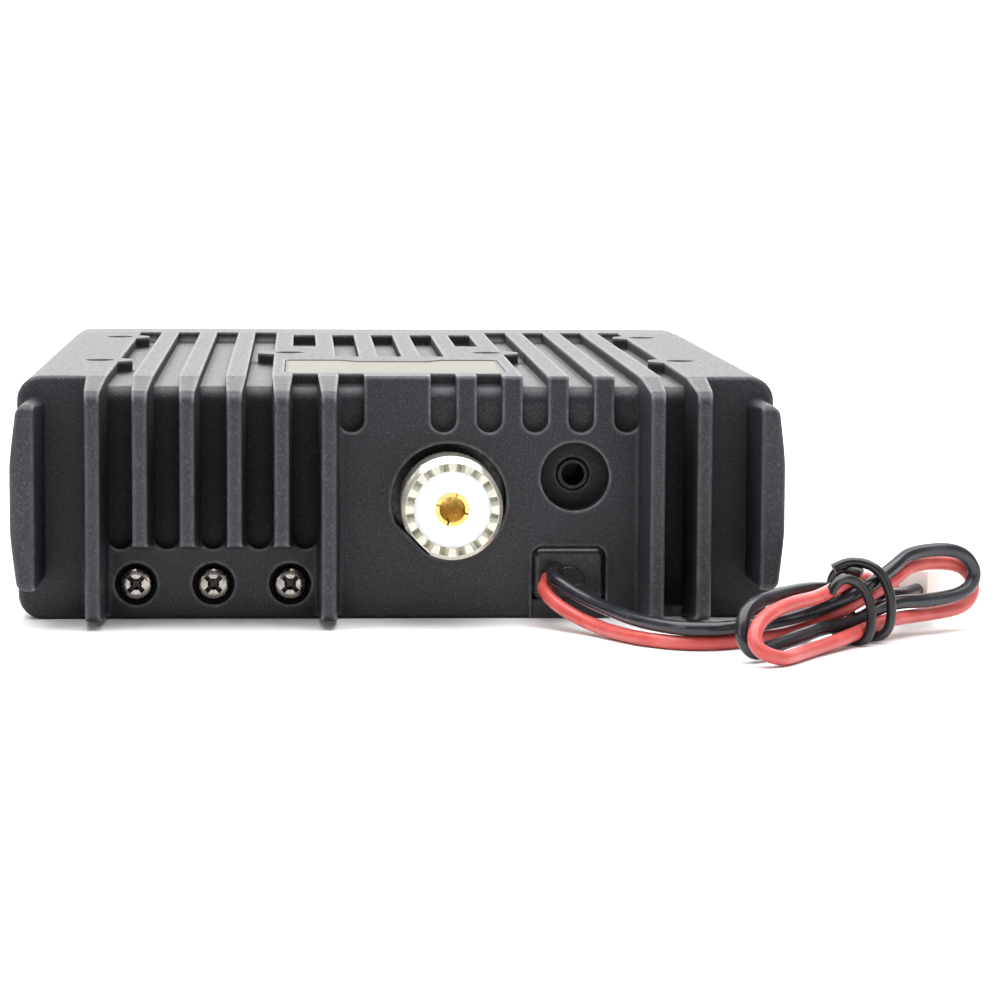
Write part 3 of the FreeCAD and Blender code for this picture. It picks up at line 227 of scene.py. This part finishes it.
class Nodes:
    """A material's node tree, with short calls for the nodes that the finishes here share."""

    def __init__(self, name):
        self.material = bpy.data.materials.new(name)
        self.material.use_nodes = True
        self.tree = self.material.node_tree
        self.shader = self.tree.nodes["Principled BSDF"]
        self.place = self.tree.nodes.new("ShaderNodeTexCoord").outputs["Object"]

    def add(self, kind, **settings):
        node = self.tree.nodes.new(kind)
        for key, value in settings.items():
            setattr(node, key, value)
        return node

    def link(self, a, b):
        self.tree.links.new(a, b)

    def give(self, socket, value):
        self.link(value, self.shader.inputs[socket])

    def set(self, **values):
        for key, value in values.items():
            self.shader.inputs[key.replace("_", " ")].default_value = value

    def noise(self, per_mm, detail=2.0, rough=0.5):
        node = self.add("ShaderNodeTexNoise")
        node.inputs["Scale"].default_value = per_mm / MM
        node.inputs["Detail"].default_value = detail
        node.inputs["Roughness"].default_value = rough
        self.link(self.place, node.inputs["Vector"])
        return node.outputs["Fac"]

    def cells(self, per_mm):
        node = self.add("ShaderNodeTexVoronoi")
        node.inputs["Scale"].default_value = per_mm / MM
        self.link(self.place, node.inputs["Vector"])
        return node.outputs["Distance"]

    def ramp(self, value, stops):
        node = self.add("ShaderNodeValToRGB")
        while len(node.color_ramp.elements) < len(stops):
            node.color_ramp.elements.new(0.5)
        for element, (at, colour) in zip(node.color_ramp.elements, stops):
            element.position = at
            element.color = (*colour, 1) if len(colour) == 3 else colour
        self.link(value, node.inputs["Fac"])
        return node.outputs["Color"]

    def span(self, value, low, high, to_low, to_high):
        node = self.add("ShaderNodeMapRange")
        limits = {"From Min": low, "From Max": high, "To Min": to_low, "To Max": to_high}
        for key, number in limits.items():
            node.inputs[key].default_value = number
        self.link(value, node.inputs["Value"])
        return node.outputs["Result"]

    def mix(self, share, a, b):
        node = self.add("ShaderNodeMix", data_type="RGBA")
        self.link(share, node.inputs["Factor"])
        for socket, value in ((node.inputs["A"], a), (node.inputs["B"], b)):
            if isinstance(value, tuple):
                socket.default_value = (*value, 1)
            else:
                self.link(value, socket)
        return node.outputs["Result"]

    def math(self, operation, a, b):
        node = self.add("ShaderNodeMath", operation=operation)
        for socket, value in zip(node.inputs, (a, b)):
            if isinstance(value, (int, float)):
                socket.default_value = value
            else:
                self.link(value, socket)
        return node.outputs["Value"]

    def bump(self, height, depth_mm, strength=1.0, under=None):
        node = self.add("ShaderNodeBump")
        node.inputs["Strength"].default_value = strength
        node.inputs["Distance"].default_value = depth_mm * MM
        self.link(height, node.inputs["Height"])
        if under is not None:
            self.link(under, node.inputs["Normal"])
        return node.outputs["Normal"]

    def rounded(self, reach_mm):
        """The normal of softly rounded edges."""
        bevel = self.add("ShaderNodeBevel", samples=6)
        bevel.inputs["Radius"].default_value = reach_mm * MM
        return bevel.outputs["Normal"]

    def rims(self, reach_mm):
        """1 on outward edges, 0 on flats: looking inwards, an edge has the next face close by."""
        shade = self.add("ShaderNodeAmbientOcclusion", samples=12, inside=True)
        shade.inputs["Distance"].default_value = reach_mm * MM
        flat, edge = 0.97, 0.62
        return self.span(shade.outputs["AO"], flat, edge, 0.0, 1.0)

    def crevice(self, reach_mm, low=0.35, high=0.8):
        """1 deep in a recess, 0 in the open; low and high are the shares of open sky."""
        shade = self.add("ShaderNodeAmbientOcclusion", samples=8)
        shade.inputs["Distance"].default_value = reach_mm * MM
        return self.span(shade.outputs["AO"], high, low, 0.0, 1.0)

    def along(self, axis):
        """Place in millimetres along one axis of the frame."""
        split = self.add("ShaderNodeSeparateXYZ")
        self.link(self.place, split.inputs["Vector"])
        return self.math("DIVIDE", split.outputs[axis], MM)


# The fins' end faces stand at Y = -84 mm; painted light, a paler tone on them, fades in over the last
# millimetre.
FIN_FADE_FROM, FIN_FADE_TO = -82.8, -83.8


def powder_coat():
    """Black powder coat on die-cast metal: pebbled, with pale grains partly painted as glints, edges
    paler from wear and painted highlight, painted shade deep in its grooves, painted light on the fin
    ends.
    """
    m = Nodes("powder_coat")
    grain = m.noise(1.6, 2, 0.6)
    fine = m.noise(2.8, 2, 0.7)
    # pale grains of the coat, partly painted glints
    specks_and_painted_glints = m.ramp(m.noise(2.9, 2, 0.6), [(0.55, NONE), (0.70, FULL)])
    patches = m.ramp(m.noise(0.5, 4, 0.7), [(0.34, (0.35, 0.35, 0.35)), (0.62, FULL)])
    # edges paler: partly real wear, partly painted highlight
    rim_wear_and_painted_highlight = m.math("MULTIPLY", m.rims(0.65), patches)
    # painted light: the fins' end faces are made paler, as if they catch more light
    fin_end_painted_light = m.span(m.along("Y"), FIN_FADE_FROM, FIN_FADE_TO, 0.0, 1.0)
    # painted shade: base colour goes near black deep in grooves and recesses
    hollow_painted_shade = m.crevice(7.0, 0.25, 0.75)
    base = m.mix(m.noise(0.035, 3), (0.0080, 0.0084, 0.0128), (0.0130, 0.0135, 0.0183))
    base = m.mix(m.span(fine, 0.35, 0.65, 0.0, 0.6), base, (0.034, 0.035, 0.041))
    for mask, share, tone in (
        # painted light on the fin end faces
        (fin_end_painted_light, 0.30, (0.036, 0.037, 0.043)),
        # pale grains, partly painted glints
        (specks_and_painted_glints, 0.45, (0.105, 0.105, 0.115)),
        # painted shade deep in the grooves
        (hollow_painted_shade, 0.70, (0.003, 0.003, 0.004)),
        # edges paler: partly wear, partly painted highlight
        (rim_wear_and_painted_highlight, 0.60, (0.240, 0.240, 0.255)),
    ):
        base = m.mix(m.math("MULTIPLY", mask, share), base, tone)
    m.give("Base Color", base)
    m.give("Roughness", m.math("MAXIMUM", m.span(grain, 0.3, 0.7, 0.36, 0.50), hollow_painted_shade))
    m.set(Specular_IOR_Level=0.36)
    m.give("Normal", m.bump(grain, 0.10, 0.6, m.bump(fine, 0.06, 0.5, m.rounded(0.7))))
    return m.material


def moulded_plastic(name, colour, rough=0.45, grain_mm=2.4, depth=0.02, vary=0.25):
    """Plastic from a spark-eroded mould: fine grain, a slow drift of tone."""
    m = Nodes(name)
    dark = tuple(c * (1 - vary) for c in colour)
    m.give("Base Color", m.mix(m.noise(0.06, 3), colour, dark))
    grain = m.noise(grain_mm, 2)
    m.give("Roughness", m.span(grain, 0.3, 0.7, rough - 0.06, rough + 0.07))
    m.give("Normal", m.bump(grain, depth, 0.5))
    return m.material


def rubber(name, colour, rough=0.6):
    return moulded_plastic(name, colour, rough, 1.4, 0.03, 0.2)


def wire_skin(name, colour, dull, rough=0.3):
    """Smooth extruded insulation with faint cloudy handling marks."""
    m = Nodes(name)
    marks = m.ramp(m.noise(0.22, 3), [(0.40, NONE), (0.72, FULL)])
    m.give("Base Color", m.mix(marks, colour, dull))
    m.give("Roughness", m.span(m.noise(0.11, 0), 0.3, 0.7, rough - 0.04, rough + 0.06))
    return m.material


def plated(name, colour, rough=0.2, stain=(0.35, 0.32, 0.27), depth=0.01, stain_share=0.35, painted_shade_reach=0.0,
           painted_shade_from=None, metal=1.0):
    """A metal with light tarnish, and painted shade: black in its recesses, and black from a given Y
    (in mm) inwards.
    """
    m = Nodes(name)
    cloud = m.ramp(m.noise(0.25, 5, 0.65), [(0.45, NONE), (0.8, FULL)])
    base = m.mix(m.math("MULTIPLY", cloud, stain_share), colour, stain)
    # painted shade: base goes black in recesses within the given reach (mm)
    if painted_shade_reach:
        recess_painted_shade = m.math("MULTIPLY", m.crevice(painted_shade_reach, 0.5, 0.85), 0.97)
        base = m.mix(recess_painted_shade, base, (0.004, 0.004, 0.004))
    # painted shade: black from the given Y (mm) inwards
    if painted_shade_from is not None:
        further_in_painted_shade = m.span(m.along("Y"), painted_shade_from, painted_shade_from + 1.0, 0.0, 0.97)
        base = m.mix(further_in_painted_shade, base, (0.006, 0.006, 0.006))
    m.give("Base Color", base)
    m.set(Metallic=metal)
    m.give("Roughness", m.span(m.noise(1.2, 3), 0.3, 0.7, max(rough - 0.08, 0.03), rough + 0.1))
    m.give("Normal", m.bump(m.noise(2.5, 2), depth, 0.4))
    return m.material


def label_foil():
    """Matt silvered foil, a little yellowed."""
    m = Nodes("label_foil")
    m.give("Base Color", m.mix(m.noise(0.12, 4), (0.27, 0.262, 0.232), (0.23, 0.222, 0.195)))
    m.set(Specular_IOR_Level=0.1)
    m.give("Roughness", m.span(m.noise(1.0, 2), 0.3, 0.7, 0.62, 0.74))
    m.give("Normal", m.bump(m.noise(0.5, 2), 0.02, 0.3))
    return m.material


def milky(name, colour, rough=0.3, scatter=0.25):
    """White nylon or PTFE: light goes a little way in."""
    m = Nodes(name)
    m.give("Base Color", m.mix(m.noise(0.2, 3), colour, tuple(c * 0.94 for c in colour)))
    m.set(Subsurface_Weight=scatter, Subsurface_Scale=0.8 * MM)
    m.give("Roughness", m.span(m.noise(0.9, 2), 0.3, 0.7, rough - 0.05, rough + 0.06))
    m.give("Normal", m.bump(m.noise(1.1, 2), 0.01, 0.4))
    return m.material


def circuit_board():
    """Green solder mask over raised tracks."""
    m = Nodes("solder_mask")
    tracks = m.ramp(m.cells(0.5), [(0.35, NONE), (0.42, FULL)])
    m.give("Base Color", m.mix(tracks, (0.012, 0.10, 0.045), (0.02, 0.16, 0.075)))
    m.give("Roughness", m.span(m.noise(0.6, 2), 0.3, 0.7, 0.28, 0.4))
    m.give("Normal", m.bump(tracks, 0.03, 0.5))
    return m.material


def smoked_window():
    """Clear grey plastic."""
    m = Nodes("smoked_window")
    m.give("Base Color", m.mix(m.noise(0.05, 2), (0.32, 0.34, 0.35), (0.26, 0.28, 0.29)))
    m.set(Transmission_Weight=0.92, IOR=1.49)
    m.give("Roughness", m.span(m.noise(0.3, 2), 0.3, 0.7, 0.02, 0.05))
    return m.material


def display_glass():
    """The unlit display: grey-green, a faint pixel grid."""
    m = Nodes("display_glass")
    grid = m.ramp(m.cells(2.2), [(0.15, FULL), (0.35, NONE)])
    faint = m.math("MULTIPLY", grid, 0.1)
    m.give("Base Color", m.mix(faint, (0.13, 0.155, 0.125), (0.11, 0.13, 0.105)))
    m.give("Roughness", m.span(m.noise(0.4, 2), 0.3, 0.7, 0.18, 0.26))
    return m.material


def felt():
    """Black speaker cloth."""
    m = Nodes("felt")
    fuzz = m.noise(3.0, 4, 0.7)
    m.give("Base Color", m.mix(fuzz, (0.012, 0.012, 0.013), (0.04, 0.04, 0.042)))
    m.set(Roughness=0.95, Sheen_Weight=0.4)
    m.give("Normal", m.bump(fuzz, 0.15, 0.8))
    return m.material


MATERIALS = {
    "powder_coat": powder_coat(),
    "painted_sheet": moulded_plastic("painted_sheet", (0.0175, 0.0180, 0.0212), 0.48, 1.8, 0.04),
    # the screws get painted shade in their recesses
    "black_screw": plated("black_screw", (0.10, 0.10, 0.105), 0.32, (0.04, 0.04, 0.04), painted_shade_reach=1.0),
    "rear_screw": plated("rear_screw", (0.40, 0.375, 0.34), 0.24, (0.14, 0.12, 0.10), 0.02, 0.6,
                         painted_shade_reach=2.4),
    "zinc": plated("zinc", (0.62, 0.63, 0.64), 0.34, (0.45, 0.45, 0.43)),
    # painted shade: the antenna shell is black from Y = -67.5 mm inwards, where it sits back in the
    # hole in the rear wall
    "nickel": plated("nickel", (0.60, 0.585, 0.51), 0.18, (0.34, 0.32, 0.23), 0.008, 0.5,
                     painted_shade_from=-67.5, metal=0.72),
    "gold": plated("gold", (0.86, 0.58, 0.18), 0.2, (0.50, 0.32, 0.09), 0.008, 0.4),
    "tin": plated("tin", (0.70, 0.69, 0.66), 0.3),
    "copper": plated("copper", (0.80, 0.42, 0.24), 0.3, (0.5, 0.25, 0.14)),
    "brass": plated("brass", (0.75, 0.60, 0.30), 0.3),
    "dull_brass": plated("dull_brass", (0.34, 0.30, 0.18), 0.35, (0.2, 0.17, 0.1)),
    "turned_aluminium": plated("turned_aluminium", (0.75, 0.75, 0.76), 0.28, (0.6, 0.6, 0.6)),
    "ferrite": moulded_plastic("ferrite", (0.05, 0.05, 0.05), 0.6),
    "label_foil": label_foil(),
    "ptfe": milky("ptfe", (0.86, 0.87, 0.88), 0.32),
    "nylon": milky("nylon", (0.86, 0.85, 0.80), 0.34, 0.5),
    "ring_black": plated("ring_black", (0.028, 0.028, 0.030), 0.30, (0.012, 0.012, 0.012)),
    "jack_plastic": moulded_plastic("jack_plastic", (0.006, 0.006, 0.0065), 0.35),
    "grommet_rubber": rubber("grommet_rubber", (0.0080, 0.0082, 0.0112), 0.30),
    "red_skin": wire_skin("red_skin", (0.50, 0.068, 0.061), (0.59, 0.112, 0.099)),
    "black_skin": wire_skin("black_skin", (0.0105, 0.0112, 0.0145), (0.022, 0.024, 0.031), 0.24),
    "tie_skin": wire_skin("tie_skin", (0.0065, 0.0066, 0.0075), (0.014, 0.014, 0.016), 0.24),
    "solder_mask": circuit_board(),
    "epoxy": moulded_plastic("epoxy", (0.015, 0.015, 0.016), 0.5, 2.0, 0.02),
    "silicone": rubber("silicone", (0.42, 0.46, 0.48), 0.6),
    "can_sleeve": moulded_plastic("can_sleeve", (0.02, 0.03, 0.07), 0.3, 1.0, 0.005),
    "header": moulded_plastic("header", (0.70, 0.66, 0.54), 0.45),
    "ribbon": moulded_plastic("ribbon", (0.50, 0.50, 0.50), 0.5, 0.8, 0.02),
    "felt": felt(),
    "gasket": rubber("gasket", (0.015, 0.015, 0.015), 0.8),
    "bezel_plastic": moulded_plastic("bezel_plastic", (0.0145, 0.0148, 0.0168), 0.42, 2.6, 0.03),
    "smoked_window": smoked_window(),
    "display_glass": display_glass(),
    "light_guide": milky("light_guide", (0.80, 0.80, 0.76), 0.3, 0.4),
    "mat_rubber": rubber("mat_rubber", (0.10, 0.10, 0.105), 0.7),
    "key_plastic": moulded_plastic("key_plastic", (0.038, 0.039, 0.043), 0.5, 2.0, 0.02),
    "knob_plastic": moulded_plastic("knob_plastic", (0.0130, 0.0132, 0.0145), 0.4, 2.2, 0.025),
    "knob_rubber": rubber("knob_rubber", (0.0140, 0.0140, 0.0150), 0.58),
    "socket_plastic": moulded_plastic("socket_plastic", (0.013, 0.013, 0.014), 0.4),
    "mark_paint": moulded_plastic("mark_paint", (0.75, 0.75, 0.73), 0.5, 1.0, 0.01, 0.1),
    "border_ink": moulded_plastic("border_ink", (0.10, 0.10, 0.095), 0.5, 1.0, 0.005),
}

NODE_MATERIAL = {
    "chassis": "powder_coat", "bottom_cover": "painted_sheet",
    "bottom_cover_screws": "black_screw", "top_screws": "black_screw",
    "rear_screws": "rear_screw", "label_plate": "label_foil", "antenna_shell": "nickel",
    "antenna_screws": "zinc", "antenna_insulator": "ptfe", "antenna_contact": "gold",
    "antenna_lead": "tin", "jack_body": "jack_plastic", "jack_bushing": "ring_black",
    "cable_grommet": "grommet_rubber", "dc_leads": "copper", "plug_housing": "nylon",
    "plug_terminals": "dull_brass", "main_board": "solder_mask", "board_standoffs": "brass",
    "board_screws": "zinc", "power_transistors": "epoxy", "transistor_tabs": "tin",
    "thermal_pads": "silicone", "transistor_nuts": "zinc", "rf_module": "epoxy",
    "shield_cans": "tin", "filter_coils": "copper", "electrolytics": "can_sleeve",
    "chips": "epoxy", "board_headers": "header", "ribbon_cable": "ribbon",
    "speaker_frame": "zinc", "speaker_cone": "felt", "speaker_magnet": "ferrite",
    "speaker_cloth": "felt", "front_gasket": "gasket", "front_bezel": "bezel_plastic",
    "bezel_screws": "black_screw", "display_window": "smoked_window",
    "lcd_panel": "display_glass", "lcd_backlight": "light_guide", "front_board": "solder_mask",
    "keypad_mat": "mat_rubber", "volume_control": "zinc", "channel_encoder": "zinc",
    "volume_shaft": "turned_aluminium", "volume_knob": "knob_plastic",
    "channel_shaft": "turned_aluminium", "channel_knob": "knob_rubber",
    "mic_socket": "socket_plastic", "socket_contacts": "gold",
}
for number in range(1, 7):
    NODE_MATERIAL["key_%d" % number] = "key_plastic"


def dress(piece, name):
    piece.data.materials.clear()
    piece.data.materials.append(MATERIALS[name])


for node, name in NODE_MATERIAL.items():
    dress(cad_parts[node], name)

# =====================================================================================
# cords and tie ride with the set
# =====================================================================================

dress(red_wire, "red_skin")
dress(black_wire, "black_skin")
dress(twist, "tie_skin")
for piece, node in (
    (red_wire, "power_wire_red"),
    (black_wire, "power_wire_black"),
    (twist, "cable_tie"),
):
    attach(piece, "set")
    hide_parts(node)

# =====================================================================================
# painted marks
# =====================================================================================


def mesh_piece(name, build, body, material):
    """A new piece from a bmesh, riding on a body."""
    mesh = bpy.data.meshes.new(name)
    work = bmesh.new()
    build(work)
    work.normal_update()
    work.to_mesh(mesh)
    work.free()
    piece = bpy.data.objects.new(name, mesh)
    scene.collection.objects.link(piece)
    dress(piece, material)
    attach(piece, body)


def add_bar(work, low, high, soften):
    """A small block between two corners with softened edges."""
    made = bmesh.ops.create_cube(work, size=1.0)
    size = high - low
    bmesh.ops.scale(work, vec=size, verts=made["verts"])
    bmesh.ops.translate(work, vec=(low + high) / 2, verts=made["verts"])
    edges = {e for v in made["verts"] for e in v.link_edges}
    bmesh.ops.bevel(work, geom=list(edges), offset=soften, segments=2, affect="EDGES")


def knob_mark(name, knob, radius):
    """White line in the groove on the face of a knob."""
    low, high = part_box(knob)
    middle = (low.x + high.x) / 2
    centre_z = (low.z + high.z) / 2
    front = high.y

    def build(work):
        add_bar(
            work,
            Vector((middle - 0.3 * MM, front - 0.3 * MM, centre_z + radius * 0.47)),
            Vector((middle + 0.3 * MM, front - 0.05 * MM, centre_z + radius * 0.83)),
            0.04 * MM,
        )

    mesh_piece(name, build, knob, "mark_paint")


knob_mark("volume_mark", "volume_knob", 7.6 * MM)
knob_mark("channel_mark", "channel_knob", 10.5 * MM)


def label_line():
    """Printed line just inside the edge of the label, following its stepped outline."""
    low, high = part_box("label_plate")
    middle = (low.x + high.x) / 2
    half = (high.x - low.x) / 2

    def outline(inset):
        x, y0, y1 = half - inset, low.y + inset, high.y - inset
        step = y1 - 3.5 * MM
        wide, narrow = 8.5 * MM + inset * 0.5, 6.0 * MM + inset * 0.5
        right = [(x, y0), (x, y1), (wide, y1), (narrow, step)]
        left = [(-narrow, step), (-wide, y1), (-x, y1)]
        return [(-x, y0), *right, *left]

    def build(work):
        z0, z1 = high.z + 0.01 * MM, high.z + 0.05 * MM
        rings = [(0.10 * MM, z0), (0.10 * MM, z1), (0.42 * MM, z1), (0.42 * MM, z0)]
        loops = [
            [work.verts.new((middle + x, y, z)) for x, y in outline(inset)]
            for inset, z in rings
        ]
        for a, b in zip(loops, loops[1:] + loops[:1]):
            for i in range(len(a)):
                j = (i + 1) % len(a)
                work.faces.new((a[i], a[j], b[j], b[i]))

    mesh_piece("label_line", build, "set", "border_ink")


def key_mark(number):
    """Raised marks on a key: a dash, and as many dots as its place in its group of three."""
    key = "key_%d" % number
    low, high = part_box(key)
    middle = (low.x + high.x) / 2
    centre_z = (low.z + high.z) / 2
    front = high.y

    def build(work):
        add_bar(
            work,
            Vector((middle - 1.6 * MM, front - 0.03 * MM, centre_z + 0.45 * MM)),
            Vector((middle + 1.6 * MM, front + 0.04 * MM, centre_z + 0.80 * MM)),
            0.015 * MM,
        )
        dots = (number - 1) % 3 + 1
        for i in range(dots):
            x = middle + (i - (dots - 1) / 2) * 1.1 * MM
            add_bar(
                work,
                Vector((x - 0.25 * MM, front - 0.03 * MM, centre_z - 0.75 * MM)),
                Vector((x + 0.25 * MM, front + 0.04 * MM, centre_z - 0.25 * MM)),
                0.015 * MM,
            )

    mesh_piece(key + "_mark", build, key, "mark_paint")


def grommet_ring():
    """Raised oval lip of the boss beside the wires on the face of the rubber block."""
    low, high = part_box("cable_grommet")
    front = low.y
    centre = Vector((28.1 * MM, front - 0.05 * MM, 7.0 * MM))
    tilt = math.radians(-28)
    wide, tall, thick = 1.95 * MM, 1.3 * MM, 0.26 * MM
    around, across = 36, 8

    def build(work):
        rings = []
        for i in range(around):
            a = 2 * math.pi * i / around
            ring = []
            for j in range(across):
                b = 2 * math.pi * j / across
                x = (wide + thick * math.cos(b)) * math.cos(a)
                z = (tall + thick * math.cos(b)) * math.sin(a)
                turned = Vector((x * math.cos(tilt) - z * math.sin(tilt), thick * math.sin(b),
                                 x * math.sin(tilt) + z * math.cos(tilt)))
                ring.append(work.verts.new(centre + turned))
            rings.append(ring)
        for i in range(around):
            here, on = rings[i], rings[(i + 1) % around]
            for j in range(across):
                k = (j + 1) % across
                face = work.faces.new((here[j], on[j], on[k], here[k]))
                face.smooth = True

    mesh_piece("grommet_ring", build, "set", "grommet_rubber")


label_line()
grommet_ring()
for number in range(1, 7):
    key_mark(number)

# =====================================================================================
# floor, backdrop and lights
# =====================================================================================


def sweep_floor():
    """White studio sweep: flat under the set, curving up far behind it."""
    work = bmesh.new()
    half, front, bend, radius, top = 4.0, -3.0, 2.2, 1.2, 3.0
    profile = [(front, 0.0), (bend, 0.0)]
    for i in range(1, 13):
        angle = math.pi / 2 * i / 12
        profile.append((bend + radius * math.sin(angle), radius * (1 - math.cos(angle))))
    profile.append((bend + radius, top))
    rows = [[work.verts.new((x, y, z)) for x in (-half, half)] for y, z in profile]
    for a, b in zip(rows, rows[1:]):
        work.faces.new((a[0], a[1], b[1], b[0]))
    mesh = bpy.data.meshes.new("floor")
    work.to_mesh(mesh)
    work.free()
    for face in mesh.polygons:
        face.use_smooth = True
    floor = bpy.data.objects.new("floor", mesh)
    scene.collection.objects.link(floor)
    m = Nodes("sweep_paper")
    m.give("Base Color", m.mix(m.noise(0.002, 2), (0.90, 0.90, 0.90), (0.88, 0.88, 0.88)))
    m.set(Roughness=0.7, Specular_IOR_Level=0.2)
    m.give("Emission Color", m.mix(m.noise(0.001, 1), (1.0, 1.0, 1.0), (0.98, 0.98, 0.98)))
    m.give("Emission Strength", m.span(m.along("Y"), 150.0, 1100.0, 0.0, 1.8))
    mesh.materials.append(m.material)


def soft_light(name, place, target, size, power):
    data = bpy.data.lights.new(name, "AREA")
    data.shape = "RECTANGLE"
    data.size, data.size_y = size
    data.energy = power
    lamp = bpy.data.objects.new(name, data)
    scene.collection.objects.link(lamp)
    lamp.location = place
    lamp.rotation_euler = (Vector(target) - Vector(place)).to_track_quat("-Z", "Y").to_euler()


sweep_floor()
soft_light("overhead", (0.0, -0.05, 0.9), (0.0, -0.05, 0.0), (1.5, 1.1), 24.0)
soft_light("left", (-0.9, -0.7, 0.5), (0.0, -0.05, 0.02), (0.5, 0.6), 2.6)
soft_light("right", (0.9, -0.8, 0.4), (0.0, -0.05, 0.02), (0.4, 0.6), 1.8)

world = bpy.data.worlds.new("world")
world.use_nodes = True
world.node_tree.nodes["Background"].inputs["Color"].default_value = (1, 1, 1, 1)
world.node_tree.nodes["Background"].inputs["Strength"].default_value = 0.35
scene.world = world
scene.view_settings.view_transform = "Standard"
